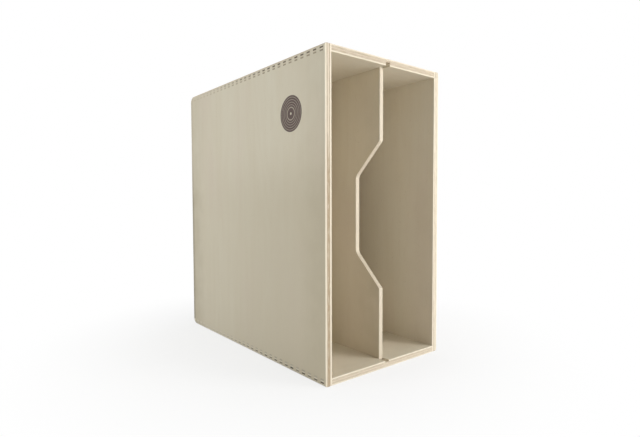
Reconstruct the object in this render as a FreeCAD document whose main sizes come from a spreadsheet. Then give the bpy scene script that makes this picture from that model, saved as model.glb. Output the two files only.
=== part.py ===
import FreeCAD, Part
import math
import os
import re
from enum import IntEnum

import Sketcher
from FreeCAD import Placement, Rotation, Vector

# Upright record box of finger-jointed plywood, open at the front, with a sliding divider.
# Millimetres, +Z up. The open front faces -Y and the origin is the middle of the base.

SIZES = {
    # The case, measured over its outer faces.
    "width": 188,
    "depth": 332,
    "height": 358,
    "side_thickness": 9,
    "lid_thickness": 8,
    # The outer long edges and rear uprights are lightly rounded.
    # The rear edges of the top and bottom are rounded more, by a little over their thickness.
    "edge_radius": 3,
    "rear_radius": 9,
    # The corner joints: fingers along each side of the top and bottom panels, and the glue beside each one.
    # The side panels have as many fingers less one between them, and half a finger at the front and rear.
    "finger_count": 30,
    "glue_line": 0.1,
    # The back, a thin panel in a groove that runs round all four panels.
    "back_thickness": 4,
    "back_inset": 6,
    "back_groove_depth": 4,
    "back_edge_gap": 0.2,
    # The divider, a board that slides in from the front between two grooves, a deep one above it.
    "divider_thickness": 6,
    "divider_setback": 10,
    "top_groove_depth": 4.5,
    "bottom_groove_depth": 2,
    "slide_clearance": 0.25,
    # The hand cut-out in the divider's front edge, with a ramp at each end.
    "cutout_mouth": 174,
    "cutout_floor": 94,
    "cutout_depth": 40,
    "cutout_mouth_radius": 3,
    "cutout_floor_radius": 10,
    # How far a cut runs past the face that it leaves.
    "overrun": 2,
}

# Places that several pieces share, in the names of the sizes, from the middle of the case.
RIGHT = "width / 2"
LEFT = "-width / 2"
FRONT = "-depth / 2"
REAR = "depth / 2"
TOP = "height / 2"
BASE = "-height / 2"
INNER_RIGHT = "(width / 2 - side_thickness)"
INNER_TOP = "(height / 2 - lid_thickness)"
LID_BLOCK_BASE = f"({INNER_TOP} - rear_radius)"
FINGER = "depth / (2 * finger_count)"
BACK_FRONT = "(depth / 2 - back_inset - back_thickness)"
BACK_REAR = "(depth / 2 - back_inset)"
BACK_REACH_X = f"({INNER_RIGHT} + back_groove_depth)"
BACK_REACH_Z = f"({INNER_TOP} + back_groove_depth)"

ON_FACE_TOLERANCE = 1e-6
HALF_TURN_DEGREES = 180
CUBIC_MM_PER_CUBIC_CM = 1000


class SketchIndex(IntEnum):
    """The numbers by which a sketch knows its own origin and the two ends of a line."""

    ORIGIN = -1
    START = 1
    END = 2


doc = FreeCAD.newDocument("RecordBox")


def make_sheet():
    """Writes the driving dimensions into a sheet, one named cell each."""
    sheet = doc.addObject("Spreadsheet::Sheet", "Sizes")
    for row, (name, value) in enumerate(SIZES.items(), start=1):
        sheet.set(f"A{row}", name)
        sheet.set(f"B{row}", str(value))
        sheet.setAlias(f"B{row}", name)
    doc.recompute()


def bind(item, path, formula):
    """Ties a property to a formula whose words are names of the sheet."""
    item.setExpression(path, re.sub(r"[a-z]\w*", lambda word: f"Sizes.{word.group()}", formula))


def origin_feature(body, role):
    """Finds one of a body's own base planes or axes."""
    return next(item for item in body.Origin.OriginFeatures if item.Role == role)


def rectangle(left, right, low, high):
    """Gives the four corners of a rectangle, as formulas."""
    return [(left, low), (right, low), (right, high), (left, high)]


def add_sketch(body, name, plane, offset, outlines):
    """Draws closed outlines on a plane that lies an offset away from a base plane."""
    sketch = body.newObject("Sketcher::SketchObject", name)
    sketch.AttachmentSupport = [(origin_feature(body, plane), "")]
    sketch.MapMode = "FlatFace"
    bind(sketch, "AttachmentOffset.Base.z", offset)
    for corners in outlines:
        draw_outline(sketch, corners)
    return sketch


def draw_outline(sketch, corners):
    """Joins corners by straight lines and dimensions each corner from the sketch's origin."""
    count = len(corners)
    first = sketch.GeometryCount
    ring = [math.tau * index / count for index in range(count + 1)]
    unit_points = [Vector(math.cos(angle), math.sin(angle), 0) for angle in ring]
    for start, end in zip(unit_points, unit_points[1:]):
        sketch.addGeometry(Part.LineSegment(start, end))
    for index, (across, up) in enumerate(corners):
        line = first + index
        following = first + (index + 1) % count
        joined = (line, SketchIndex.END, following, SketchIndex.START)
        sketch.addConstraint(Sketcher.Constraint("Coincident", *joined))
        measured = (SketchIndex.ORIGIN, SketchIndex.START, line, SketchIndex.START)
        for kind, formula in (("DistanceX", across), ("DistanceY", up)):
            dimension = sketch.addConstraint(Sketcher.Constraint(kind, *measured, 1.0))
            bind(sketch, f"Constraints[{dimension}]", formula)


def add_pad(body, name, sketch, length):
    """Thickens a sketch into a board."""
    pad = body.newObject("PartDesign::Pad", name)
    pad.Profile = sketch
    bind(pad, "Length", length)
    doc.recompute()


def add_pocket(body, name, sketch, length, along_normal):
    """Cuts a sketch into a board, and makes sure that wood is taken away."""
    volume_before = body.Shape.Volume
    pocket = body.newObject("PartDesign::Pocket", name)
    pocket.Profile = sketch
    pocket.Reversed = along_normal
    bind(pocket, "Length", length)
    doc.recompute()
    if body.Shape.Volume >= volume_before:
        raise RuntimeError(f"{body.Label}: {name} cuts nothing")
    return pocket


def add_fillet(body, name, base, edges, radius):
    """Rounds the named edges of a board."""
    fillet = body.newObject("PartDesign::Fillet", name)
    fillet.Base = (base, edges)
    bind(fillet, "Radius", radius)
    doc.recompute()


def add_row(body, name, pocket, spacing, count):
    """Repeats a cut along the depth of the case."""
    row = body.newObject("PartDesign::LinearPattern", name)
    row.Originals = [pocket]
    row.Direction = (origin_feature(body, "Y_Axis"), [""])
    row.Mode = "Spacing"
    bind(row, "Offset", spacing)
    bind(row, "Occurrences", count)
    body.Tip = row
    doc.recompute()


def edge_names(shape, wanted):
    """Names the edges whose middle point passes a test."""
    return [f"Edge{index}" for index, edge in enumerate(shape.Edges, start=1) if wanted(edge.CenterOfMass)]


def near(place, level):
    """Tells whether a place and a level are the same."""
    return abs(place - level) < ON_FACE_TOLERANCE


def on_rear_corner(point):
    """Tells whether a point lies where the rear of the case meets its outer top or base."""
    return near(point.y, SIZES["depth"] / 2) and near(abs(point.z), SIZES["height"] / 2)


def on_outer_outline(point):
    """Tells whether a point lies on the outline of an outer side face, its front and a lid block's base aside."""
    on_side = near(abs(point.x), SIZES["width"] / 2)
    on_front = near(point.y, -SIZES["depth"] / 2)
    block_base = SIZES["height"] / 2 - SIZES["lid_thickness"] - SIZES["rear_radius"]
    return on_side and not on_front and not near(abs(point.z), block_base)


def add_roundings(body):
    """Rounds a board's rear corners first, and then its outer outline, which follows them."""
    for name, wanted in (("rear", on_rear_corner), ("edge", on_outer_outline)):
        base = body.Tip
        add_fillet(body, f"{name}_rounding", base, edge_names(base.Shape, wanted), f"{name}_radius")


def new_body(label, turn_degrees):
    """Starts a piece, drawn round the middle of the case and turned about the depth axis."""
    body = doc.addObject("PartDesign::Body", label)
    body.Label = label
    body.Placement = Placement(Vector(), Rotation(Vector(0, 1, 0), turn_degrees))
    bind(body, "Placement.Base.z", "height / 2")
    return body


def make_side(label, turn_degrees):
    """Makes an upright side: a rounded board with notches for the fingers and a groove for the back."""
    body = new_body(label, turn_degrees)
    board = add_sketch(body, "side_board", "YZ_Plane", LEFT, [rectangle(FRONT, REAR, BASE, TOP)])
    add_pad(body, "side_thickness_pad", board, "side_thickness")
    add_roundings(body)

    notch_front = f"{FRONT} + {FINGER} / 2"
    notch_rear = f"{notch_front} + {FINGER}"
    notches = [
        rectangle(notch_front, notch_rear, INNER_TOP, f"{TOP} + overrun"),
        rectangle(notch_front, notch_rear, f"{BASE} - overrun", f"-{INNER_TOP}"),
    ]
    notch_sketch = add_sketch(body, "side_notch", "YZ_Plane", f"-{INNER_RIGHT}", notches)
    notch = add_pocket(body, "side_notch_cut", notch_sketch, "side_thickness + overrun", False)
    add_row(body, "side_notches", notch, f"2 * {FINGER}", "finger_count")

    groove = [rectangle(BACK_FRONT, BACK_REAR, f"-{BACK_REACH_Z}", BACK_REACH_Z)]
    groove_sketch = add_sketch(body, "side_back_groove", "YZ_Plane", f"-{INNER_RIGHT}", groove)
    add_pocket(body, "side_back_groove_cut", groove_sketch, "back_groove_depth", False)
    return body


def make_lid(label, turn_degrees, divider_groove_depth):
    """Makes a top or bottom, with fingers, a groove for the back and one for the divider.

    It starts as a block thick enough for the rear rounding, and is planed down to its thickness.
    """
    body = new_body(label, turn_degrees)
    block = add_sketch(body, "lid_block", "XY_Plane", LID_BLOCK_BASE, [rectangle(LEFT, RIGHT, FRONT, REAR)])
    add_pad(body, "lid_block_pad", block, "lid_thickness + rear_radius")
    add_roundings(body)
    sweep_x = (f"{LEFT} - overrun", f"{RIGHT} + overrun")
    sweep_y = (f"{FRONT} - overrun", f"{REAR} + overrun")
    planing_sketch = add_sketch(body, "lid_planing", "XY_Plane", INNER_TOP, [rectangle(*sweep_x, *sweep_y)])
    add_pocket(body, "lid_planing_cut", planing_sketch, "rear_radius + overrun", False)

    notch_front = f"{FRONT} - {FINGER} / 2 - glue_line"
    notch_rear = f"{FRONT} + {FINGER} / 2 + glue_line"
    notches = [
        rectangle(f"{LEFT} - overrun", f"-{INNER_RIGHT}", notch_front, notch_rear),
        rectangle(INNER_RIGHT, f"{RIGHT} + overrun", notch_front, notch_rear),
    ]
    notch_sketch = add_sketch(body, "lid_notch", "XY_Plane", INNER_TOP, notches)
    notch = add_pocket(body, "lid_notch_cut", notch_sketch, "lid_thickness + overrun", True)
    add_row(body, "lid_notches", notch, f"2 * {FINGER}", "finger_count + 1")

    groove = [rectangle(f"-{BACK_REACH_X}", BACK_REACH_X, BACK_FRONT, BACK_REAR)]
    groove_sketch = add_sketch(body, "lid_back_groove", "XY_Plane", INNER_TOP, groove)
    add_pocket(body, "lid_back_groove_cut", groove_sketch, "back_groove_depth", True)

    slot_half = "(divider_thickness / 2 + slide_clearance)"
    slot = [rectangle(f"-{slot_half}", slot_half, f"{FRONT} - overrun", BACK_FRONT)]
    slot_sketch = add_sketch(body, "lid_divider_groove", "XY_Plane", INNER_TOP, slot)
    add_pocket(body, "lid_divider_groove_cut", slot_sketch, divider_groove_depth, True)
    return body


def make_back():
    """Makes the back: a thin board whose edges stand in the grooves of the four panels."""
    body = new_body("back_panel", 0)
    reach_x = f"({BACK_REACH_X} - back_edge_gap)"
    reach_z = f"({BACK_REACH_Z} - back_edge_gap)"
    board = rectangle(f"-{reach_x}", reach_x, f"-{reach_z}", reach_z)
    sketch = add_sketch(body, "back_board", "XZ_Plane", f"-{BACK_REAR}", [board])
    add_pad(body, "back_thickness_pad", sketch, "back_thickness")
    return body


def make_divider():
    """Makes the divider: a board that stands in its two grooves, with a hand cut-out in the front edge."""
    body = new_body("divider", 0)
    front = f"({FRONT} + divider_setback)"
    rear = f"({BACK_FRONT} - slide_clearance)"
    head = f"({INNER_TOP} + top_groove_depth - slide_clearance)"
    foot = f"-({INNER_TOP} + bottom_groove_depth - slide_clearance)"
    floor = f"{front} + cutout_depth"
    outline = [
        (front, foot),
        (rear, foot),
        (rear, head),
        (front, head),
        (front, "cutout_mouth / 2"),
        (floor, "cutout_floor / 2"),
        (floor, "-cutout_floor / 2"),
        (front, "-cutout_mouth / 2"),
    ]
    sketch = add_sketch(body, "divider_board", "YZ_Plane", "-divider_thickness / 2", [outline])
    add_pad(body, "divider_thickness_pad", sketch, "divider_thickness")

    for name in ("cutout_mouth", "cutout_floor"):
        half = SIZES[name] / 2
        corners = edge_names(body.Tip.Shape, lambda point: abs(abs(point.z) - half) < ON_FACE_TOLERANCE)
        add_fillet(body, f"{name}_rounding", body.Tip, corners, f"{name}_radius")
    return body


def check(bodies):
    """Stops if a feature failed or a piece isn't one sound solid."""
    failed = [item.Label for item in doc.Objects if {"Invalid", "Error"} & set(item.State)]
    if failed:
        raise RuntimeError(f"failed features: {failed}")
    for body in bodies:
        shape = body.Shape
        if shape.isNull() or not shape.isValid() or len(shape.Solids) != 1:
            raise RuntimeError(f"{body.Label} isn't one sound solid")


make_sheet()
pieces = [
    make_side("left_side", 0),
    make_side("right_side", HALF_TURN_DEGREES),
    make_lid("top_panel", 0, "top_groove_depth"),
    make_lid("bottom_panel", HALF_TURN_DEGREES, "bottom_groove_depth"),
    make_back(),
    make_divider(),
]
doc.recompute()
check(pieces)

os.makedirs("parts", exist_ok=True)
for piece in pieces:
    piece.Shape.exportStep(f"parts/{piece.Label}.step")
    volume = piece.Shape.Volume / CUBIC_MM_PER_CUBIC_CM
    print(f"{piece.Label}: {volume:.1f} cm3, {len(piece.Shape.Faces)} faces")
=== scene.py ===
"""Dresses the record box: a finger-jointed plywood case with a sliding divider, in a plain studio."""

import logging
import math
from dataclasses import dataclass, field
from enum import Enum, IntEnum
from typing import Dict, List, Optional, Sequence, Tuple, Union

import bmesh
import bpy
from mathutils import Matrix, Vector


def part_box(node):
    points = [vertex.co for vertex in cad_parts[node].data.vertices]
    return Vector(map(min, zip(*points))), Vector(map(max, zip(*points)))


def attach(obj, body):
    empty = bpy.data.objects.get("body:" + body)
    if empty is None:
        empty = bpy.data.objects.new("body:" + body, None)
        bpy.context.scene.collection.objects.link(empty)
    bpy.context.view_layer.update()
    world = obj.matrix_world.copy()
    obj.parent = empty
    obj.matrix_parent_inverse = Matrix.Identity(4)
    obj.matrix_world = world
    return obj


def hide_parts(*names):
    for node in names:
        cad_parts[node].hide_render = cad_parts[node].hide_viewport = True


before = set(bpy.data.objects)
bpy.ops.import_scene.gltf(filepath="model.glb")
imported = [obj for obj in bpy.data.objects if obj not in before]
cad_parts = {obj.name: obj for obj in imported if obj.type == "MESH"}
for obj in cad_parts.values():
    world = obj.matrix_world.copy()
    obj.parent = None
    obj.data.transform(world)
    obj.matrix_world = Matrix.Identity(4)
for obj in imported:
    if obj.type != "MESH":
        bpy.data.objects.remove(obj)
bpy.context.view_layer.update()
boxes = {node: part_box(node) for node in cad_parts}

CASE = "case"
SLIDING_DIVIDER = "sliding_divider"
CASE_PLYWOOD = "case_plywood"
BACK_PLYWOOD = "back_plywood"
DIVIDER_PLYWOOD = "divider_plywood"

MM_PER_METRE = 1000.0
MM = 1.0 / MM_PER_METRE
FINGER_COUNT = 30
GLUE_LINE = 0.1 * MM
OUTER_ROUNDING = 3.0 * MM
HALF = 0.5
WHITE = (1.0, 1.0, 1.0)

Colour = Tuple[float, float, float]
Point = Tuple[float, float, float]
Span = Tuple[float, float]
Number = Union[int, float]
Operand = Union["Value", Number]

log = logging.getLogger("record_box")


class Axis(IntEnum):
    """The box's own directions, as places in a vector."""

    WIDTH = 0
    DEPTH = 1
    HEIGHT = 2


class Outward(Enum):
    """Which end of its thickness axis a board's outer face lies at."""

    LOW = -1
    HIGH = 1


class Value:
    """A number that changes over a surface. Python's operators on it add Math nodes to its graph."""

    def __init__(self, graph: "Graph", socket: bpy.types.NodeSocket) -> None:
        """Keeps the socket that gives the number, and its graph."""
        self.graph = graph
        self.socket = socket

    def math(self, operation: str, *operands: Operand) -> "Value":
        """Adds a Math node that works on the operands in their order.

        Args:
            operation: The Math node's operation.
            operands: Values or plain numbers.

        Returns:
            The node's result.
        """
        made = self.graph.node("ShaderNodeMath", dict(enumerate(operands)), operation=operation)
        return Value(self.graph, made.outputs[0])

    def __add__(self, other: Operand) -> "Value":
        """Gives the sum."""
        return self.math("ADD", self, other)

    def __radd__(self, other: Number) -> "Value":
        """Gives the sum with a plain number in front."""
        return self.math("ADD", other, self)

    def __sub__(self, other: Operand) -> "Value":
        """Gives the difference."""
        return self.math("SUBTRACT", self, other)

    def __rsub__(self, other: Number) -> "Value":
        """Gives the difference from a plain number."""
        return self.math("SUBTRACT", other, self)

    def __mul__(self, other: Operand) -> "Value":
        """Gives the product."""
        return self.math("MULTIPLY", self, other)

    def __rmul__(self, other: Number) -> "Value":
        """Gives the product with a plain number in front."""
        return self.math("MULTIPLY", other, self)

    def __truediv__(self, other: Operand) -> "Value":
        """Gives the quotient."""
        return self.math("DIVIDE", self, other)

    def __rtruediv__(self, other: Number) -> "Value":
        """Gives the quotient of a plain number."""
        return self.math("DIVIDE", other, self)

    def __mod__(self, other: Operand) -> "Value":
        """Gives the remainder, which is never negative."""
        return self.math("FLOORED_MODULO", self, other)

    def __lt__(self, other: Operand) -> "Value":
        """Gives 1 where it is less, and 0 elsewhere."""
        return self.math("LESS_THAN", self, other)

    def __gt__(self, other: Operand) -> "Value":
        """Gives 1 where it is greater, and 0 elsewhere."""
        return self.math("GREATER_THAN", self, other)

    def __abs__(self) -> "Value":
        """Gives the size without the sign."""
        return self.math("ABSOLUTE", self)

    def floor(self) -> "Value":
        """Gives the whole number below."""
        return self.math("FLOOR", self)

    def sine(self) -> "Value":
        """Gives the sine of an angle in radians."""
        return self.math("SINE", self)

    def root(self) -> "Value":
        """Gives the square root."""
        return self.math("SQRT", self)

    def least(self, other: Operand) -> "Value":
        """Gives the smaller of two."""
        return self.math("MINIMUM", self, other)

    def most(self, other: Operand) -> "Value":
        """Gives the larger of two."""
        return self.math("MAXIMUM", self, other)

    def between(self, low: Number, high: Number) -> "Value":
        """Holds the number between two limits."""
        return self.most(low).least(high)

    def ramp(self, start: Number, end: Number) -> "Value":
        """Rises smoothly from 0 at the start to 1 at the end, and stays there.

        Args:
            start: Where the result is 0.
            end: Where the result is 1; it may lie below the start.

        Returns:
            The eased share.
        """
        made = self.graph.node(
            "ShaderNodeMapRange",
            {"Value": self, "From Min": start, "From Max": end},
            interpolation_type="SMOOTHSTEP",
            clamp=True,
        )
        return Value(self.graph, made.outputs[0])

    def blend(self, other: Operand, share: "Value") -> "Value":
        """Goes from this number to another as the share goes from 0 to 1."""
        return self + (other - self) * share

    def onto(self, low: Number, high: Number) -> "Value":
        """Turns a share from 0 to 1 into a number from low to high."""
        return self * (high - low) + low

    def matches(self, number: Number) -> "Value":
        """Gives 1 where it is that whole number, and 0 elsewhere."""
        return abs(self - number) < HALF


Given = Union[Value, bpy.types.NodeSocket, Number, Sequence[float], bpy.types.Material]


class Graph:
    """A node tree that is written from Python."""

    def __init__(self, tree: bpy.types.NodeTree) -> None:
        """Empties the tree and keeps it."""
        self.tree = tree
        tree.nodes.clear()

    def node(
        self,
        kind: str,
        inputs: Optional[Dict[Union[int, str], Given]] = None,
        **settings: Union[str, bool],
    ) -> bpy.types.Node:
        """Adds one node.

        Args:
            kind: The node's type.
            inputs: What its sockets get, by name or place: a link or a fixed value.
            settings: Its own settings, which are set first.

        Returns:
            The new node.
        """
        made = self.tree.nodes.new(kind)
        for name, setting in settings.items():
            setattr(made, name, setting)
        for key, given in (inputs or {}).items():
            self.feed(made.inputs[key], given)
        return made

    def feed(self, socket: bpy.types.NodeSocket, given: Given) -> None:
        """Links a socket, or sets its fixed value.

        Args:
            socket: The input that is fed.
            given: A value or socket to link, or what the input holds by itself.
        """
        if isinstance(given, Value):
            given = given.socket
        if isinstance(given, bpy.types.NodeSocket):
            self.tree.links.new(given, socket)
        else:
            socket.default_value = given

    def vector(self, *parts: Operand) -> bpy.types.NodeSocket:
        """Joins three numbers into a vector."""
        return self.node("ShaderNodeCombineXYZ", dict(enumerate(parts))).outputs[0]


class Shader(Graph):
    """The node tree of a material, with the steps that the finishes share."""

    MIX_COLOURS = (6, 7)
    MIXED_COLOUR = 2
    OPAQUE = 1.0

    def __init__(self, material: bpy.types.Material) -> None:
        """Starts the material's tree."""
        material.use_nodes = True
        super().__init__(material.node_tree)

    def components(self, vector: bpy.types.NodeSocket) -> List[Value]:
        """Splits a vector into its three numbers."""
        parts = self.node("ShaderNodeSeparateXYZ", {0: vector})
        return [Value(self, part) for part in parts.outputs]

    def millimetres(self) -> List[Value]:
        """Gives a point's place on the box, in millimetres along each axis."""
        place = self.node("ShaderNodeTexCoord").outputs["Object"]
        scaled = self.node("ShaderNodeVectorMath", {0: place, "Scale": MM_PER_METRE}, operation="SCALE")
        return self.components(scaled.outputs[0])

    def facing(self) -> List[Value]:
        """Gives how far the surface faces along each axis, whichever way, from 0 to 1."""
        normal = self.node("ShaderNodeTexCoord").outputs["Normal"]
        return [abs(part) for part in self.components(normal)]

    def noise(self, place: bpy.types.NodeSocket, detail: Number) -> Value:
        """Gives soft noise from 0 to 1.

        Args:
            place: Where in the noise each point lies; its grains are about one unit across.
            detail: How many finer layers are added.

        Returns:
            The noise.
        """
        made = self.node("ShaderNodeTexNoise", {"Vector": place, "Scale": 1.0, "Detail": detail})
        return Value(self, made.outputs[0])

    def random(self, number: Value, seed: Number) -> Value:
        """Gives one number from 0 to 1 for each whole number."""
        made = self.node("ShaderNodeTexWhiteNoise", {"W": number + seed}, noise_dimensions="1D")
        return Value(self, made.outputs[0])

    def colour(self, tone: Colour) -> Tuple[float, float, float, float]:
        """Gives a colour as its sockets take it."""
        return (*tone, self.OPAQUE)

    def mix(self, under: Given, over: Given, share: Operand) -> bpy.types.NodeSocket:
        """Lays one colour over another.

        Args:
            under: The colour where the share is 0.
            over: The colour where the share is 1.
            share: How much of the second colour shows.

        Returns:
            The mixed colour.
        """
        first, second = self.MIX_COLOURS
        made = self.node("ShaderNodeMix", {0: share, first: under, second: over}, data_type="RGBA")
        return made.outputs[self.MIXED_COLOUR]

    def surface(self, shader: bpy.types.NodeSocket) -> None:
        """Sends a shader to the material's output."""
        self.node("ShaderNodeOutputMaterial", {"Surface": shader})


@dataclass(frozen=True)
class Layup:
    """How a plywood board is made up: its plies and the ways that their grain runs."""

    through: Axis
    grain: Axis
    outward: Outward
    joints: Tuple[float, ...]

    def across(self) -> Axis:
        """Gives the axis that is neither the thickness nor the face grain."""
        return next(axis for axis in Axis if axis not in (self.through, self.grain))

    def core(self) -> int:
        """Gives the middle ply's number, counted from the outer face."""
        return len(self.joints) // 2


@dataclass(frozen=True)
class Grain:
    """Marks drawn out along the grain: their size in millimetres, and how fine they break up."""

    length: float
    width: float
    detail: int
    shift: float = 0.0
    turns: bool = True


class PlyShader(Shader):
    """The node tree of one board: where each point of it lies, in which ply, and how it is cut."""

    CUT_FACING = (0.3, 0.9)
    FLAT_FACING = (0.5, 0.95)
    FINGER_REACH = (7.0, 4.0)
    WAVER_SPACING = 26.0
    WAVER_DETAIL = 2
    WAVER = 0.05
    PATCH_SPACING = 23.0
    PATCH_DETAIL = 3
    PLY_SHIFT = 17.3
    BOARD_SHIFT = 41.7

    def __init__(self, material: bpy.types.Material, board: "Board") -> None:
        """Starts the tree and works out what the finish needs to know of each point.

        Args:
            material: The board's new material.
            board: The board that is dressed.
        """
        super().__init__(material)
        self.board = board
        layup = board.layup
        grain, across, through = layup.grain, layup.across(), layup.through
        low, high = (corner * MM_PER_METRE for corner in boxes[board.node])
        self.place = self.millimetres()
        self.faces = self.facing()
        ends = zip(self.place, low, high)
        self.insets = [(part - start).least(end - part) for part, start, end in ends]
        self.front = self.place[Axis.DEPTH] - low[Axis.DEPTH]
        self.from_side = self.insets[across]
        self.from_end = self.insets[grain].ramp(*self.FINGER_REACH)
        self.cut_along = self.faces[grain].ramp(*self.CUT_FACING)
        self.cut_across = self.faces[across].ramp(*self.CUT_FACING)
        self.on_face = self.faces[through].ramp(*self.FLAT_FACING)

        self.straight = [self.place[axis] for axis in (grain, across, through)]
        self.along, sideways, inward = self.straight
        self.depth = inward - low[through] if layup.outward is Outward.LOW else high[through] - inward
        self.thickness = high[through] - low[through]
        bend = self.vector(self.along / self.WAVER_SPACING, sideways / self.WAVER_SPACING, board.seed)
        waver = self.noise(bend, self.WAVER_DETAIL) - HALF
        self.share = self.depth / self.thickness + waver * self.WAVER
        self.outer_half = self.share < HALF
        self.ply = sum(((self.share > joint) for joint in layup.joints[1:]), self.share > layup.joints[0])
        self.core = self.ply.matches(layup.core())
        self.crossed = self.ply % 2
        lengthwise = self.along.blend(sideways, self.crossed)
        self.turned = [lengthwise, sideways.blend(self.along, self.crossed), inward]
        self.shift = self.ply * self.PLY_SHIFT + board.seed * self.BOARD_SHIFT
        self.finger = (self.front / (board.finger_pitch() * MM_PER_METRE)).floor()
        self.finger_cut = self.cut_along * (1 - self.crossed) * self.from_end
        spread = self.vector(*(part / self.PATCH_SPACING for part in self.place))
        self.patch = self.noise(spread, self.PATCH_DETAIL)

    def grain(self, marks: Grain) -> Value:
        """Makes noise that is drawn out along the grain, of each ply or of the face alone.

        Args:
            marks: The size of the marks.

        Returns:
            The noise, from 0 to 1.
        """
        along, across, through = self.turned if marks.turns else self.straight
        start = along / marks.length + (self.shift + marks.shift)
        return self.noise(self.vector(start, across / marks.width, through / marks.width), marks.detail)

    def arris(self) -> Value:
        """Gives the distance from the board's nearest arris: the middle one of the three insets."""
        first, second, third = self.insets
        nearest = first.least(second).least(third)
        farthest = first.most(second).most(third)
        return first + second + third - nearest - farthest


@dataclass
class Coat:
    """A surface as its finish builds up: its colour, its roughness and its relief."""

    shader: Shader
    colour: Given
    rough: Value
    relief: Value

    ROUGH_LIMITS = (0.3, 0.95)

    def lay(self, tone: Colour, share: Operand) -> None:
        """Lays a colour over what is there."""
        self.colour = self.shader.mix(self.colour, self.shader.colour(tone), share)

    def finish(self, strength: float, distance: float, specular: float) -> None:
        """Joins colour, roughness and relief in the material's shader.

        Args:
            strength: How far the relief is felt, from 0 to 1.
            distance: The height of one unit of the relief, in metres.
            specular: How strongly the surface mirrors.
        """
        bump = {"Strength": strength, "Distance": distance, "Height": self.relief}
        relief = self.shader.node("ShaderNodeBump", bump)
        coat = self.shader.node(
            "ShaderNodeBsdfPrincipled",
            {
                "Base Color": self.colour,
                "Roughness": self.rough.between(*self.ROUGH_LIMITS),
                "Specular IOR Level": specular,
                "Normal": relief.outputs[0],
            },
        )
        self.shader.surface(coat.outputs[0])


@dataclass(frozen=True)
class PrintedDisc:
    """A round brown print of plain rings, like a disc, on the outside of one side."""

    centre_depth: float = -106.0
    centre_height: float = 294.0
    radius: float = 20.5
    edge_softness: float = 0.25
    label_radius: float = 7.0
    hole_radius: float = 1.3
    ring_pitch: float = 2.8
    ring_width: float = 0.4
    ring_margin: float = 1.4
    skin: float = 0.3
    ink: Colour = (0.100, 0.062, 0.053)
    ring_share: float = 0.5
    grain_limits: Span = (0.62, 0.8)
    grain_show: float = 0.16
    smoothing: float = 0.12

    def lay(self, sheet: PlyShader, coat: Coat, fibres: Value) -> None:
        """Prints the disc on the board's outer face.

        Args:
            sheet: The side's node tree.
            coat: Its finish so far.
            fibres: The wood's fine grain, which shows through the ink.
        """
        _, depth, height = sheet.place
        out = depth - self.centre_depth
        up = height - self.centre_height
        radius = (out * out + up * up).root()
        inside = radius.ramp(self.radius, self.radius - self.edge_softness)
        hole = radius.ramp(self.hole_radius, self.hole_radius + self.edge_softness)
        from_ring = abs(radius % self.ring_pitch - self.ring_pitch / 2)
        on_ring = from_ring.ramp(self.ring_width, self.ring_width - self.edge_softness)
        grooved = (radius > self.label_radius) * (radius < self.radius - self.ring_margin)
        label_line = abs(radius - self.label_radius).ramp(2 * self.ring_width, self.ring_width)
        bare = (on_ring * grooved).most(label_line) * self.ring_share
        worn = fibres.ramp(*self.grain_limits) * self.grain_show
        outer_face = (sheet.depth < self.skin) * sheet.on_face
        ink = inside * hole * outer_face * (1 - bare) * (1 - worn)
        coat.lay(self.ink, ink)
        coat.rough = coat.rough - ink * self.smoothing


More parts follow.
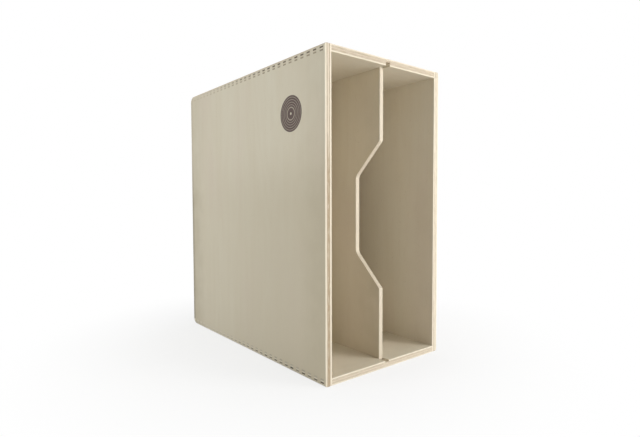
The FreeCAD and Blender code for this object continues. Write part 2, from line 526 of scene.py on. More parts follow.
@dataclass(frozen=True)
class PlywoodFinish:
    """Sanded bare birch plywood: plies, grain, flecks, end grain, glue lines, rubbed front arrises and
    painted shade.
    """

    pale: Colour = (0.765, 0.700, 0.570)
    warm: Colour = (0.690, 0.600, 0.455)
    rosy: Colour = (0.735, 0.640, 0.530)
    fibre_and_shade: Colour = (0.560, 0.455, 0.315)
    # colour of the fibres, also laid as painted shade along the upper arrises
    fleck: Colour = (0.420, 0.300, 0.185)
    edge_end: Colour = (0.420, 0.325, 0.220)
    # colour of the fingers' end grain, also laid as painted shade on the rear rim
    end_grain_and_shade: Colour = (0.085, 0.062, 0.042)
    # colour of the painted shade on the faces: darker at the edges, low down and towards the front
    painted_shade: Colour = (0.560, 0.490, 0.365)
    glue: Colour = (0.270, 0.190, 0.120)
    # near-black painted shade inside a core void
    core_void_shade: Colour = (0.012, 0.009, 0.006)
    rubbed: Colour = (0.860, 0.800, 0.680)

    fibre_marks: Grain = Grain(16.0, 0.32, 3)
    fibre_limits: Span = (0.5, 0.85)
    fibre_share: float = 0.24
    streak_marks: Grain = Grain(240.0, 8.0, 3)
    streak_share: float = 0.45
    cloud_marks: Grain = Grain(330.0, 85.0, 2)
    cloud_share: float = 0.9
    ring_marks: Grain = Grain(300.0, 62.0, 1, 7.7)
    ring_spread: float = 52.0
    ring_share: float = 0.055
    blush_marks: Grain = Grain(190.0, 70.0, 2, 3.1)
    blush_limits: Span = (0.42, 0.72)
    blush_share: float = 0.6
    fleck_marks: Grain = Grain(3.4, 0.55, 1)
    fleck_limits: Span = (0.69, 0.77)
    fleck_streaks: Span = (0.42, 0.6)
    fleck_share: float = 0.5

    edge_end_share: float = 0.85
    groove_end_share: float = 0.3
    mottle_marks: Grain = Grain(9.0, 1.6, 3, turns=False)
    mottle_limits: Span = (0.25, 0.7)
    mottle_tones: Span = (0.5, 1.1)
    finger_end_share: float = 0.95
    finger_tones: Span = (0.8, 1.2)
    finger_step: float = 3.0
    cleaner_fingers: Span = (7.0, 25.0)
    cleaner_share: float = 0.85
    outer_ply_share: float = 0.55
    inner_ply_share: float = 0.75
    speckle_limits: Span = (0.25, 0.75)
    speckle_tones: Span = (0.75, 1.1)
    glue_half_width: float = 0.05
    glue_share: float = 0.55

    # Painted shade on the faces: darker near their edges, low down and towards the front.
    shade_edge_reach: float = 66.0
    shade_edge_share: float = 0.85
    shade_low_share: float = 0.15
    shade_inside: float = 0.35
    shade_height: Span = (275.0, 185.0)
    shade_high_share: float = 0.45
    shade_limits: Span = (0.2, 0.8)
    shade_tones: Span = (0.6, 1.1)
    front_shade_reach: Span = (300.0, 10.0)
    # Painted shade along the upper arrises behind the front, darkest where they turn round.
    arris_shade_reach: Span = (4.0, 0.8)
    arris_shade_front: Span = (3.0, 14.0)
    arris_shade_height: Span = (120.0, 240.0)
    arris_shade_turn: float = 2.0
    arris_shade_flat_share: float = 0.6
    arris_shade_share: float = 0.75
    # Painted shade on the outer faces' rim towards the rear, stronger low down.
    rim_shade_reach: Span = (11.0, 4.0)
    rim_shade_from: float = 100.0
    rim_shade_share: float = 0.4
    rim_shade_high_share: float = 0.3
    wear_reach: float = 1.4
    wear_limits: Span = (0.3, 0.7)
    wear_share: float = 0.45

    roughness: float = 0.56
    fibre_rough: float = 0.12
    end_rough: float = 0.2
    wear_smoothing: float = 0.1
    fibre_relief: float = 0.6
    streak_relief: float = 0.25
    fleck_relief: float = 0.5
    finger_sink: float = 0.4
    gap_sink: float = 2.0
    relief_strength: float = 0.35
    relief_height: float = 0.08 * MM
    specular: float = 0.35

    def material(self, board: "Board") -> bpy.types.Material:
        """Makes the board's own material, with its plies where the board's thickness is.

        Args:
            board: The board that is dressed.

        Returns:
            The finished material.
        """
        made = bpy.data.materials.new(f"{board.piece}_plywood")
        sheet = PlyShader(made, board)
        fibres = sheet.grain(self.fibre_marks)
        coat = self.figure(sheet, fibres)
        self.cut_ends(sheet, coat, fibres)
        # painted shade on the faces, then on the upper arrises and the rear rim
        self.shade_faces(sheet, coat)
        self.shade_arrises(sheet, coat)
        self.rubbing(sheet, coat)
        # painted shade of a small core void, sunk a little by bump
        if board.core_void_shade is not None:
            self.shade_void(sheet, coat, *board.core_void_shade)
        if board.print is not None:
            board.print.lay(sheet, coat, fibres)
        coat.finish(self.relief_strength, self.relief_height, self.specular)
        return made

    def figure(self, sheet: PlyShader, fibres: Value) -> Coat:
        """Draws the sanded wood: clouds, streaks, year rings, fibres and flecks.

        Args:
            sheet: The board's node tree.
            fibres: The fine grain.

        Returns:
            The finish so far.
        """
        streaks = sheet.grain(self.streak_marks)
        cloud = sheet.grain(self.cloud_marks)
        flecks = sheet.grain(self.fleck_marks).ramp(*self.fleck_limits)
        rings = (sheet.grain(self.ring_marks) * self.ring_spread).sine()
        warmth = (streaks - HALF) * self.streak_share + (cloud - HALF) * self.cloud_share
        warmth = warmth + rings * self.ring_share + sheet.board.warmth
        relief = fibres * self.fibre_relief + streaks * self.streak_relief - flecks * self.fleck_relief
        rough = self.roughness + fibres * self.fibre_rough
        coat = Coat(sheet, sheet.colour(self.pale), rough, relief)
        coat.lay(self.warm, warmth.between(0, 1))
        coat.lay(self.rosy, sheet.grain(self.blush_marks).ramp(*self.blush_limits) * self.blush_share)
        coat.lay(self.fibre_and_shade, fibres.ramp(*self.fibre_limits) * self.fibre_share)
        coat.lay(self.fleck, flecks * self.fleck_share * streaks.ramp(*self.fleck_streaks))
        return coat

    def cut_ends(self, sheet: PlyShader, coat: Coat, fibres: Value) -> None:
        """Darkens the plies that are cut across their grain, and draws the glue between the plies.

        Args:
            sheet: The board's node tree.
            coat: Its finish so far.
            fibres: The fine grain.
        """
        board = sheet.board
        stain = board.core_tone
        if board.core_stain is not None:
            stain = sheet.along.ramp(*board.core_stain).most(board.core_tone)
        mottle = sheet.grain(self.mottle_marks).ramp(*self.mottle_limits).onto(*self.mottle_tones)
        edge = sheet.cut_across * sheet.crossed.most(sheet.core * stain) * mottle
        edge = edge * (self.edge_end_share * board.edge_contrast)
        groove = sheet.cut_along * (1 - sheet.crossed) * (1 - sheet.from_end) * self.groove_end_share
        coat.lay(self.edge_end, edge.most(groove).between(0, 1))
        clean = sheet.finger.ramp(*self.cleaner_fingers) * self.cleaner_share
        speckle = fibres.ramp(*self.speckle_limits).onto(*self.speckle_tones)
        fingers = self.finger_tone(sheet) * (1 - clean) * speckle
        coat.lay(self.end_grain_and_shade, fingers.between(0, 1))
        glue = self.glue_lines(sheet)
        coat.lay(self.glue, glue * (1 - clean) * self.glue_share)
        coat.rough = coat.rough + (edge + fingers) * self.end_rough
        coat.relief = coat.relief - glue - fingers * self.finger_sink

    def finger_tone(self, sheet: PlyShader) -> Value:
        """Gives how dark the end grain of the fingers is, each finger and ply a little differently."""
        board = sheet.board
        tone = sheet.random(sheet.finger * self.finger_step + sheet.ply, board.seed)
        outer = sheet.ply.matches(0) * (1 - self.outer_ply_share)
        inner = sheet.ply.matches(len(board.layup.joints)) * (1 - self.inner_ply_share * board.inner_tone)
        tone = tone.onto(*self.finger_tones) * (1 - outer - inner)
        return sheet.finger_cut * tone * self.finger_end_share

    def glue_lines(self, sheet: PlyShader) -> Value:
        """Gives 1 on the glue between the plies, and where a finger's end meets the next board.

        Args:
            sheet: The board's node tree.

        Returns:
            The share of the glue.
        """
        line = abs(sheet.share - 1.0) + (sheet.cut_along * sheet.from_end < HALF)
        for joint in sheet.board.layup.joints:
            line = line.least(abs(sheet.share - joint))
        width = self.glue_half_width
        return (line * sheet.thickness).ramp(2 * width, width) * (1 - sheet.on_face)

    def shade_faces(self, sheet: PlyShader, coat: Coat) -> None:
        """Paints shade on the faces: softly darker at the edges, low down and towards the front.

        Args:
            sheet: The board's node tree.
            coat: Its finish so far.
        """
        low_down = sheet.place[Axis.HEIGHT].ramp(*self.shade_height)
        near_edge = sheet.from_side.ramp(self.shade_edge_reach, 0.0)
        blotches = sheet.patch.ramp(*self.shade_limits).onto(*self.shade_tones)
        edge_shade = near_edge * blotches * low_down.onto(self.shade_high_share, 1) * self.shade_edge_share
        outside = sheet.outer_half.onto(self.shade_inside, 1)
        painted_shade = edge_shade.most(low_down * self.shade_low_share) * sheet.on_face * outside
        coat.lay(self.painted_shade, painted_shade.between(0, 1))
        # more painted shade low down towards the front of the outer face
        front_shade = sheet.front.ramp(*self.front_shade_reach) * low_down * sheet.on_face * sheet.outer_half
        coat.lay(self.painted_shade, front_shade * sheet.board.front_shade_share)

    def shade_arrises(self, sheet: PlyShader, coat: Coat) -> None:
        """Paints shade on the upper rounded arrises behind the front, and on the outer rim at the rear.

        Args:
            sheet: The board's node tree.
            coat: Its finish so far.
        """
        height = sheet.place[Axis.HEIGHT]
        wide, deep, high = sheet.faces
        turned = wide * deep + deep * high + wide * high
        round_share = (turned * self.arris_shade_turn).between(0, 1).onto(self.arris_shade_flat_share, 1)
        # painted shade along the upper arrises, darkest where the surface turns round
        arris_shade = sheet.arris().ramp(*self.arris_shade_reach) * sheet.front.ramp(*self.arris_shade_front)
        coat.lay(self.fibre_and_shade, arris_shade * height.ramp(*self.arris_shade_height) * round_share * self.arris_shade_share)
        # painted shade on the outer face's rim towards the rear, stronger low down
        rim = sheet.from_side.ramp(*self.rim_shade_reach) * (sheet.front > self.rim_shade_from) * sheet.on_face
        lower = height.ramp(*self.shade_height).onto(self.rim_shade_high_share, 1)
        coat.lay(self.end_grain_and_shade, rim * lower * sheet.outer_half * self.rim_shade_share)

    def rubbing(self, sheet: PlyShader, coat: Coat) -> None:
        """Rubs the front arrises pale and smooth.

        Args:
            sheet: The board's node tree.
            coat: Its finish so far.
        """
        beside = sheet.insets[Axis.WIDTH].least(sheet.insets[Axis.HEIGHT])
        wear = sheet.front.most(beside).ramp(self.wear_reach, 0.0) * sheet.patch.ramp(*self.wear_limits)
        coat.lay(self.rubbed, wear * self.wear_share)
        coat.rough = coat.rough - wear * self.wear_smoothing

    def shade_void(self, sheet: PlyShader, coat: Coat, finger: int, side: int) -> None:
        """Paints a small void in the core of one finger's end as near-black painted shade.

        Args:
            sheet: The board's node tree.
            coat: Its finish so far.
            finger: The finger's number, counted from the front.
            side: -1 for the left end of the board, 1 for the right.
        """
        at_side = sheet.place[Axis.WIDTH] * side > 0
        shade_void = sheet.finger.matches(finger) * sheet.core * sheet.finger_cut * at_side
        coat.lay(self.core_void_shade, shade_void)
        coat.relief = coat.relief - shade_void * self.gap_sink


@dataclass(frozen=True)
class GlueFinish:
    """Dried wood glue in the finger joints, tan and faintly cloudy."""

    thin: Colour = (0.34, 0.25, 0.155)
    thick: Colour = (0.20, 0.14, 0.085)
    cloud_size: float = 2.5
    cloud_detail: int = 3
    cloud_limits: Span = (0.35, 0.65)
    roughness: float = 0.45
    cloud_rough: float = 0.2
    relief_strength: float = 0.3
    relief_height: float = 0.05 * MM
    specular: float = 0.5

    def material(self) -> bpy.types.Material:
        """Makes the glue's material.

        Returns:
            The finished material.
        """
        made = bpy.data.materials.new("finger_glue_dried")
        shader = Shader(made)
        place = shader.vector(*(part / self.cloud_size for part in shader.millimetres()))
        cloud = shader.noise(place, self.cloud_detail)
        coat = Coat(shader, shader.colour(self.thin), self.roughness + cloud * self.cloud_rough, cloud)
        coat.lay(self.thick, cloud.ramp(*self.cloud_limits))
        coat.finish(self.relief_strength, self.relief_height, self.specular)
        return made


def finished_mesh(obj: bpy.types.Object) -> None:
    """Turns an object's live modifiers into its plain mesh.

    Args:
        obj: The object, which keeps its name and loses its modifiers.
    """
    graph = bpy.context.evaluated_depsgraph_get()
    finished = obj.evaluated_get(graph)
    mesh = bpy.data.meshes.new_from_object(finished, preserve_all_data_layers=True, depsgraph=graph)
    obj.modifiers.clear()
    rough_mesh = obj.data
    obj.data = mesh
    bpy.data.meshes.remove(rough_mesh)
    mesh.name = obj.name


@dataclass
class Board:
    """One plywood board: a clean copy of its CAD solid, with eased arrises and a finish of its own."""

    node: str
    piece: str
    body: str
    slot: str
    layup: Layup
    seed: int
    warmth: float = 0.3
    edge_contrast: float = 1.0
    easing: float = 0.5 * MM
    print: Optional[PrintedDisc] = None
    # the finger and side of a core void painted as shade
    core_void_shade: Optional[Tuple[int, int]] = None
    core_tone: float = 0.2
    core_stain: Optional[Span] = None
    inner_tone: float = 1.0
    # share of painted shade low down towards the front of the outer face
    front_shade_share: float = 0.0
    obj: Optional[bpy.types.Object] = None

    MERGE_REACH = 0.002 * MM
    ON_PLANE = 0.01 * MM
    REAR_BAND = 0.12 * MM
    FLAT_ANGLE = math.radians(0.2)
    BENT_ANGLE = math.radians(20)
    SHARP_ANGLE = math.radians(40)
    EASING_SEGMENTS = 3
    WEIGHT_LAYER = "bevel_weight_edge"
    NORMAL_LAYER = "custom_normal"

    def finger_pitch(self) -> float:
        """Gives the distance from finger to finger along the depth, in metres."""
        low, high = boxes[self.node]
        return (high - low)[Axis.DEPTH] / FINGER_COUNT

    def splits(self) -> List[Tuple[Axis, float]]:
        """Gives the planes at which long arrises are divided before they are eased."""
        return []

    def is_eased(self, start: Vector, end: Vector) -> bool:
        """Says whether an arris from start to end is one that is rubbed round."""
        return False

    def on_plane(self, axis: Axis, place: float, *points: Vector) -> bool:
        """Says whether all the points lie at one place along an axis."""
        return all(abs(point[axis] - place) < self.ON_PLANE for point in points)

    def build(self) -> None:
        """Copies the CAD solid as one shell, eases its free arrises and gives it true flat faces."""
        shell = bmesh.new()
        shell.from_mesh(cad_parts[self.node].data)
        bmesh.ops.remove_doubles(shell, verts=shell.verts, dist=self.MERGE_REACH)
        bmesh.ops.dissolve_limit(shell, angle_limit=self.FLAT_ANGLE, verts=shell.verts, edges=shell.edges)
        for axis, place in self.splits():
            point = Vector()
            point[axis] = place
            normal = Vector()
            normal[axis] = 1.0
            bmesh.ops.bisect_plane(
                shell,
                geom=[*shell.verts, *shell.edges, *shell.faces],
                dist=self.MERGE_REACH,
                plane_co=point,
                plane_no=normal,
            )
        weights = shell.edges.layers.float.new(self.WEIGHT_LAYER)
        for edge in shell.edges:
            bent = edge.calc_face_angle(0.0) > self.BENT_ANGLE
            if bent and self.is_eased(*(corner.co for corner in edge.verts)):
                edge[weights] = 1.0
        for face in shell.faces:
            face.smooth = True
        mesh = bpy.data.meshes.new(self.piece)
        shell.to_mesh(mesh)
        shell.free()
        if self.NORMAL_LAYER in mesh.attributes:
            mesh.attributes.remove(mesh.attributes[self.NORMAL_LAYER])
        self.obj = bpy.data.objects.new(self.piece, mesh)
        bpy.context.scene.collection.objects.link(self.obj)
        easing = self.obj.modifiers.new("eased_arrises", "BEVEL")
        easing.limit_method = "WEIGHT"
        easing.width = self.easing
        easing.segments = self.EASING_SEGMENTS
        easing.use_clamp_overlap = False
        finished_mesh(self.obj)
        self.mark_sharp()
        flats = self.obj.modifiers.new("flat_faces", "WEIGHTED_NORMAL")
        flats.keep_sharp = True
        finished_mesh(self.obj)

    def mark_sharp(self) -> None:
        """Marks the arrises that are still sharp, so that each flat face is shaded flat."""
        shell = bmesh.new()
        shell.from_mesh(self.obj.data)
        for edge in shell.edges:
            edge.smooth = edge.calc_face_angle(0.0) < self.SHARP_ANGLE
        shell.to_mesh(self.obj.data)
        shell.free()

    def dress(self, finish: PlywoodFinish) -> None:
        """Gives the board its plywood and sets it in the place of its CAD solid.

        Args:
            finish: The plywood that it is cut from.
        """
        self.obj.data.materials.clear()
        self.obj.data.materials.append(finish.material(self))
        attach(self.obj, self.body)
        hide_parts(self.node)
        log.info("%s: %d faces", self.piece, len(self.obj.data.polygons))


@dataclass
class SideBoard(Board):
    """An upright side: its front arrises are eased, except inside the joints with the top and bottom."""

    lids: Tuple[str, str] = ("bottom_panel", "top_panel")

    def joint_heights(self) -> Tuple[float, float]:
        """Gives the heights of the inner faces of the bottom and the top."""
        bottom, top = self.lids
        return boxes[bottom][1].z, boxes[top][0].z

    def splits(self) -> List[Tuple[Axis, float]]:
        """Divides the inner arrises where the joints begin."""
        return [(Axis.HEIGHT, height) for height in self.joint_heights()]

    def is_eased(self, start: Vector, end: Vector) -> bool:
        """Eases the front outline and the rear inner arris, but not where a lid meets the side."""
        low, high = boxes[self.node]
        front = self.on_plane(Axis.DEPTH, low.y, start, end)
        rear = min(start.y, end.y) > high.y - self.REAR_BAND
        inner = high.x if self.layup.outward is Outward.LOW else low.x
        if not self.on_plane(Axis.WIDTH, inner, start, end):
            return front
        bottom, top = self.joint_heights()
        middle = (start.z + end.z) / 2
        return (front or rear) and bottom < middle < top


@dataclass
class LidBoard(Board):
    """A top or bottom: its long front arrises and its rear inner arris are eased."""

    def is_eased(self, start: Vector, end: Vector) -> bool:
        """Eases the arrises that run from side to side along the front, and the inner one at the rear."""
        low, high = boxes[self.node]
        inner = high.z if self.layup.outward is Outward.LOW else low.z
        level = abs(start.z - end.z) < self.ON_PLANE
        faces = any(self.on_plane(Axis.HEIGHT, place, start, end) for place in (low.z, high.z))
        front = self.on_plane(Axis.DEPTH, low.y, start, end)
        rear = self.on_plane(Axis.DEPTH, high.y, start, end)
        inside = self.on_plane(Axis.HEIGHT, inner, start, end)
        return level and faces and (front or (rear and inside))


@dataclass
class BackBoard(Board):
    """The thin back: all its arrises are eased, so that it slips into its grooves."""

    def is_eased(self, start: Vector, end: Vector) -> bool:
        """Eases every arris."""
        return True


@dataclass
class DividerBoard(Board):
    """The divider: the outline of its front edge and hand cut-out is rubbed round on both faces."""

    front_reach: float = 60.0 * MM

    def is_eased(self, start: Vector, end: Vector) -> bool:
        """Eases what lies on either face along the front edge and the cut-out."""
        low, high = boxes[self.node]
        on_face = any(self.on_plane(Axis.WIDTH, place, start, end) for place in (low.x, high.x))
        near_front = max(start.y, end.y) < low.y + self.front_reach
        return on_face and near_front


@dataclass
class FingerGlue:
    """The dried glue beside every finger: thin sheets that fill the joints, just short of the surface."""

    piece: str = "finger_glue"
    recess: float = 0.06 * MM
    corner_steps: int = 5
    finish: GlueFinish = field(default_factory=GlueFinish)
    obj: Optional[bpy.types.Object] = None

    MERGE_REACH = 0.001 * MM
    # For each corner of the case: the sheet's outer corner, and which way it lies across and up.
    CORNERS = ((1, -1, 1), (0, 1, 1), (2, -1, -1), (3, 1, -1))

    def sizes(self) -> Dict[str, Number]:
        """Reads the joints' sizes from the boards.

        Returns:
            Each input of the tree and its value.
        """
        side_low, side_high = boxes["left_side"]
        lid_low, lid_high = boxes["top_panel"]
        pitch = (side_high.y - side_low.y) / FINGER_COUNT
        finger = pitch / 2
        return {
            "Front": side_low.y,
            "Pitch": pitch,
            "Fingers": FINGER_COUNT,
            "Beside Finger": finger / 2 - GLUE_LINE,
            "Glue Line": GLUE_LINE,
            "Sheet Width": side_high.x - side_low.x - self.recess,
            "Sheet Height": lid_high.z - lid_low.z - self.recess,
            "Rounding": OUTER_ROUNDING - self.recess,
            "Inner Width": -side_high.x,
            "Case Height": lid_high.z,
            "Recess": self.recess,
        }

    def build(self) -> None:
        """Grows the glue with geometry nodes and keeps it as a plain mesh."""
        tree = bpy.data.node_groups.new("finger_glue_joints", "GeometryNodeTree")
        sizes = self.sizes()
        keys = {}
        for name, size in sizes.items():
            kind = "NodeSocketInt" if isinstance(size, int) else "NodeSocketFloat"
            keys[name] = tree.interface.new_socket(name, in_out="INPUT", socket_type=kind).identifier
        tree.interface.new_socket("Glue", in_out="OUTPUT", socket_type="NodeSocketGeometry")
        self.plan(Graph(tree))
        self.obj = bpy.data.objects.new(self.piece, bpy.data.meshes.new(self.piece))
        bpy.context.scene.collection.objects.link(self.obj)
        growth = self.obj.modifiers.new("glue_in_joints", "NODES")
        growth.node_group = tree
        for name, size in sizes.items():
            growth[keys[name]] = size
        finished_mesh(self.obj)

    def plan(self, graph: Graph) -> None:
        """Draws the tree: a rounded sheet in each corner of the case, set at both sides of every finger.

        The last sheets at the rear are left out: the rounded rear edges of the case cut them away.

        Args:
            graph: The empty geometry tree.
        """
        given = graph.node("NodeGroupInput").outputs
        sizes = {socket.name: Value(graph, socket) for socket in given if socket.name}
        sheets = graph.node("GeometryNodeJoinGeometry")
        for corner, across, upward in self.CORNERS:
            sheet = self.sheet(graph, sizes, corner)
            out = (sizes["Inner Width"] + sizes["Sheet Width"] / 2) * across
            middle = sizes["Case Height"] / 2
            reach = middle - sizes["Recess"] - sizes["Sheet Height"] / 2
            level = middle + reach * upward
            placed = graph.node(
                "GeometryNodeTransform",
                {
                    "Geometry": sheet,
                    "Translation": graph.vector(out, sizes["Glue Line"] / 2, level),
                    "Rotation": (math.pi / 2, 0.0, 0.0),
                },
            )
            graph.tree.links.new(placed.outputs[0], sheets.inputs[0])
        joints = graph.node("GeometryNodeJoinGeometry")
        for way in (-1, 1):
            start = sizes["Front"] + sizes["Pitch"] / 2
            start = start + (sizes["Beside Finger"] + sizes["Glue Line"] / 2) * way
            line = graph.node(
                "GeometryNodeMeshLine",
                {
                    "Count": sizes["Fingers"] - int(way > 0),
                    "Start Location": graph.vector(0.0, start, 0.0),
                    "Offset": graph.vector(0.0, sizes["Pitch"], 0.0),
                },
            )
            points = {"Points": line.outputs[0], "Instance": sheets.outputs[0]}
            row = graph.node("GeometryNodeInstanceOnPoints", points)
            graph.tree.links.new(row.outputs[0], joints.inputs[0])
        real = graph.node("GeometryNodeRealizeInstances", {0: joints.outputs[0]})
        dressing = {"Geometry": real.outputs[0], "Material": self.finish.material()}
        dressed = graph.node("GeometryNodeSetMaterial", dressing)
        graph.node("NodeGroupOutput", {0: dressed.outputs[0]})

    def sheet(self, graph: Graph, sizes: Dict[str, Value], corner: int) -> bpy.types.NodeSocket:
        """Makes one closed sheet of glue with one rounded corner.

        Args:
            graph: The geometry tree.
            sizes: The tree's named inputs.
            corner: Which corner of the sheet is the outer one.

        Returns:
            The sheet, lying flat round the origin.
        """
        outline = graph.node(
            "GeometryNodeCurvePrimitiveQuadrilateral",
            {"Width": sizes["Sheet Width"], "Height": sizes["Sheet Height"]},
        )
        index = Value(graph, graph.node("GeometryNodeInputIndex").outputs[0])
        radius = index.matches(corner) * sizes["Rounding"]
        rounded = graph.node(
            "GeometryNodeFilletCurve",
            {"Curve": outline.outputs[0], "Radius": radius, "Count": self.corner_steps},
            mode="POLY",
        )
        face = graph.node("GeometryNodeFillCurve", {0: rounded.outputs[0]}, mode="NGONS")
        thick = graph.node(
            "GeometryNodeExtrudeMesh",
            {"Mesh": face.outputs[0], "Offset Scale": sizes["Glue Line"], "Individual": False},
            mode="FACES",
        )
        under = graph.node("GeometryNodeFlipFaces", {0: face.outputs[0]})
        closed = graph.node("GeometryNodeJoinGeometry", {0: thick.outputs[0]})
        graph.tree.links.new(under.outputs[0], closed.inputs[0])
        loose = {0: closed.outputs[0], "Distance": self.MERGE_REACH}
        merged = graph.node("GeometryNodeMergeByDistance", loose)
        return merged.outputs[0]

    def dress(self) -> None:
        """Lets the glue move with the case."""
        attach(self.obj, CASE)
        log.info("%s: %d faces", self.piece, len(self.obj.data.polygons))


@dataclass
class Case:
    """The glued case: two sides, top, bottom and back, with glue in its finger joints."""

    finish: PlywoodFinish = field(default_factory=PlywoodFinish)
    glue: FingerGlue = field(default_factory=FingerGlue)
    side_joints: Tuple[float, ...] = (0.29, 0.39, 0.64, 0.74)
    lid_joints: Tuple[float, ...] = (0.2, 0.4, 0.6, 0.8)
    back_joints: Tuple[float, ...] = (0.3, 0.7)
    boards: List[Board] = field(default_factory=list)

    def build(self) -> None:
        """Builds the five boards and the glue between them."""
        upright, width = Axis.HEIGHT, Axis.WIDTH
        left = Layup(width, upright, Outward.LOW, self.side_joints)
        right = Layup(width, upright, Outward.HIGH, self.side_joints)
        top = Layup(upright, width, Outward.HIGH, self.lid_joints)
        bottom = Layup(upright, width, Outward.LOW, self.lid_joints)
        back = Layup(Axis.DEPTH, upright, Outward.HIGH, self.back_joints)
        stock = (CASE, CASE_PLYWOOD)
        self.boards = [
            SideBoard(
                "left_side",
                "left_board",
                *stock,
                left,
                1,
                edge_contrast=1.35,
                print=PrintedDisc(),
                core_tone=0.15,
                core_stain=(290.0, 215.0),
                # painted shade, darker low down towards the front of the left face
                front_shade_share=0.5,
            ),
            SideBoard("right_side", "right_board", *stock, right, 2, warmth=0.15, edge_contrast=0.9),
            LidBoard("top_panel", "top_board", *stock, top, 3, edge_contrast=0.85, core_tone=0.75),
            LidBoard(
                "bottom_panel",
                "bottom_board",
                *stock,
                bottom,
                4,
                # the lower warmth, edge contrast and core tone make the bottom board paler: painted
                # light, for the brighter light low on the front
                warmth=0.1,
                edge_contrast=0.65,
                core_tone=0.6,
                # a core void painted as near-black shade in finger number 5 at the left end
                core_void_shade=(5, -1),
                inner_tone=0.6,
            ),
            BackBoard("back_panel", "back_board", CASE, BACK_PLYWOOD, back, 5, warmth=0.55),
        ]
        for board in self.boards:
            board.build()
        self.glue.build()

    def dress(self) -> None:
        """Gives every board its plywood and lets the glue ride with them."""
        for board in self.boards:
            board.dress(self.finish)
        self.glue.dress()


@dataclass
class SlidingDivider:
    """The divider that slides out between its two grooves."""

    finish: PlywoodFinish = field(default_factory=PlywoodFinish)
    joints: Tuple[float, ...] = (0.2, 0.4, 0.6, 0.8)
    easing: float = 0.7 * MM
    edge_contrast: float = 0.45
    board: Optional[Board] = None

    def build(self) -> None:
        """Builds the divider's one board."""
        layup = Layup(Axis.WIDTH, Axis.HEIGHT, Outward.LOW, self.joints)
        self.board = DividerBoard(
            "divider",
            "divider_board",
            SLIDING_DIVIDER,
            DIVIDER_PLYWOOD,
            layup,
            6,
            edge_contrast=self.edge_contrast,
            easing=self.easing,
        )
        self.board.build()

    def dress(self) -> None:
        """Gives the divider its plywood."""
        self.board.dress(self.finish)


@dataclass(frozen=True)
class Lamp:
    """One soft studio lamp, aimed at the box."""

    name: str
    place: Point
    aim: Point
    size: float
    power: float
    tint: Colour = WHITE

    def build(self) -> None:
        """Hangs the lamp and turns it to its aim."""
        data = bpy.data.lights.new(self.name, "AREA")
        data.shape = "DISK"
        data.size = self.size
        data.energy = self.power
        data.color = self.tint
        lamp = bpy.data.objects.new(self.name, data)
        bpy.context.scene.collection.objects.link(lamp)
        lamp.location = self.place
        lamp.rotation_euler = (Vector(self.aim) - Vector(self.place)).to_track_quat("-Z", "Y").to_euler()


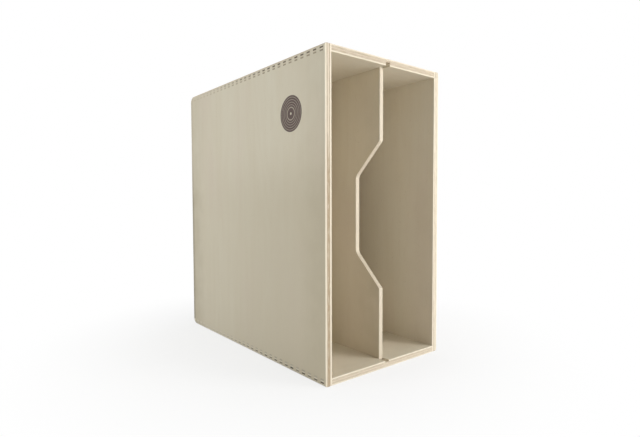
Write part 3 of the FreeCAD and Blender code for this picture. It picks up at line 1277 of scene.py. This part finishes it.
@dataclass
class Studio:
    """A white floor that keeps the box's soft shadow, even white surroundings and soft lamps."""

    floor_half: float = 12.0
    floor_drop: float = 0.1 * MM
    floor_colour: Colour = (0.86, 0.86, 0.86)
    shadow_reach: Span = (0.12, 0.4)
    shadow_whitening: float = 0.74
    ambient: float = 0.285
    ambient_tint: Colour = (0.965, 1.0, 0.98)
    lamps: Tuple[Lamp, ...] = (
        Lamp("front_lamp", (0.9, -1.4, 0.42), (0.0, -0.1, 0.15), 0.8, 22.8, (1.0, 0.985, 0.965)),
        Lamp("top_lamp", (0.2, 0.0, 1.9), (0.0, 0.0, 0.2), 1.4, 12.0),
        Lamp("left_lamp", (-1.25, 0.3, 0.75), (-0.094, 0.0, 0.2), 0.8, 5.6, (0.98, 1.0, 0.97)),
    )

    def build(self) -> None:
        """Lays the floor, hangs the lamps and sets the world's light."""
        self.lay_floor()
        for lamp in self.lamps:
            lamp.build()
        self.light_world()
        bpy.context.scene.view_settings.view_transform = "Standard"

    def lay_floor(self) -> None:
        """Lays a pale floor that turns plain white for the camera away from the box's shadow."""
        half = self.floor_half
        corners = [(-half, -half), (half, -half), (half, half), (-half, half)]
        mesh = bpy.data.meshes.new("studio_floor")
        mesh.from_pydata([(x, y, -self.floor_drop) for x, y in corners], [], [(0, 1, 2, 3)])
        floor = bpy.data.objects.new("studio_floor", mesh)
        bpy.context.scene.collection.objects.link(floor)
        paint = bpy.data.materials.new("studio_floor_paint")
        shader = Shader(paint)
        place = shader.node("ShaderNodeTexCoord").outputs["Object"]
        length = shader.node("ShaderNodeVectorMath", {0: place}, operation="LENGTH")
        away = Value(shader, length.outputs["Value"]).ramp(*self.shadow_reach)
        away = away.onto(self.shadow_whitening, 1)
        matt = shader.node("ShaderNodeBsdfDiffuse", {"Color": shader.colour(self.floor_colour)})
        white = shader.node("ShaderNodeEmission")
        layers = {0: away * self.seen(shader), 1: matt.outputs[0], 2: white.outputs[0]}
        mixed = shader.node("ShaderNodeMixShader", layers)
        shader.surface(mixed.outputs[0])
        mesh.materials.append(paint)

    def seen(self, graph: Graph) -> Value:
        """Gives 1 for what the camera sees, straight, mirrored or through glass."""
        path = graph.node("ShaderNodeLightPath").outputs
        camera, glossy, through = (
            Value(graph, path[name]) for name in ("Is Camera Ray", "Is Glossy Ray", "Is Transmission Ray")
        )
        return camera.most(glossy).most(through)

    def light_world(self) -> None:
        """Makes the surroundings white to the camera and a soft even light to the box."""
        world = bpy.data.worlds.new("studio_surroundings")
        world.use_nodes = True
        graph = Graph(world.node_tree)
        glow = {"Color": (*self.ambient_tint, Shader.OPAQUE), "Strength": self.ambient}
        soft = graph.node("ShaderNodeBackground", glow)
        white = graph.node("ShaderNodeBackground", {"Color": (*WHITE, Shader.OPAQUE), "Strength": 1.0})
        layers = {0: self.seen(graph), 1: soft.outputs[0], 2: white.outputs[0]}
        mixed = graph.node("ShaderNodeMixShader", layers)
        graph.node("ShaderNodeOutputWorld", {"Surface": mixed.outputs[0]})
        bpy.context.scene.world = world


@dataclass(frozen=True)
class Viewpoint:
    """The camera: where it stands, which way it looks and how long its lens is."""

    place: Point = (-0.3968, -0.5312, 0.1989)
    yaw: float = math.radians(39.018)
    pitch_down: float = math.radians(2.509)
    roll: float = math.radians(-0.174)
    lens_mm: float = 25.872
    sensor_mm: float = 36.0

    def build(self) -> None:
        """Sets up the camera and makes it the scene's own."""
        ahead = Vector(
            (
                math.sin(self.yaw) * math.cos(self.pitch_down),
                math.cos(self.yaw) * math.cos(self.pitch_down),
                -math.sin(self.pitch_down),
            )
        )
        level = Vector((math.cos(self.yaw), -math.sin(self.yaw), 0.0))
        upright = level.cross(ahead)
        right = level * math.cos(self.roll) + upright * math.sin(self.roll)
        up = upright * math.cos(self.roll) - level * math.sin(self.roll)
        data = bpy.data.cameras.new("studio_camera")
        data.lens = self.lens_mm
        data.sensor_width = self.sensor_mm
        data.sensor_fit = "HORIZONTAL"
        camera = bpy.data.objects.new("studio_camera", data)
        bpy.context.scene.collection.objects.link(camera)
        turn = Matrix((right, up, -ahead)).transposed().to_4x4()
        camera.matrix_world = Matrix.Translation(self.place) @ turn
        bpy.context.scene.camera = camera


def main() -> None:
    """Builds and dresses the case and its divider, then the studio and the camera."""
    logging.basicConfig(level=logging.INFO, format="%(name)s %(message)s")
    for assembly in (Case(), SlidingDivider()):
        assembly.build()
        assembly.dress()
    Studio().build()
    Viewpoint().build()


if __name__ == "__main__":
    main()
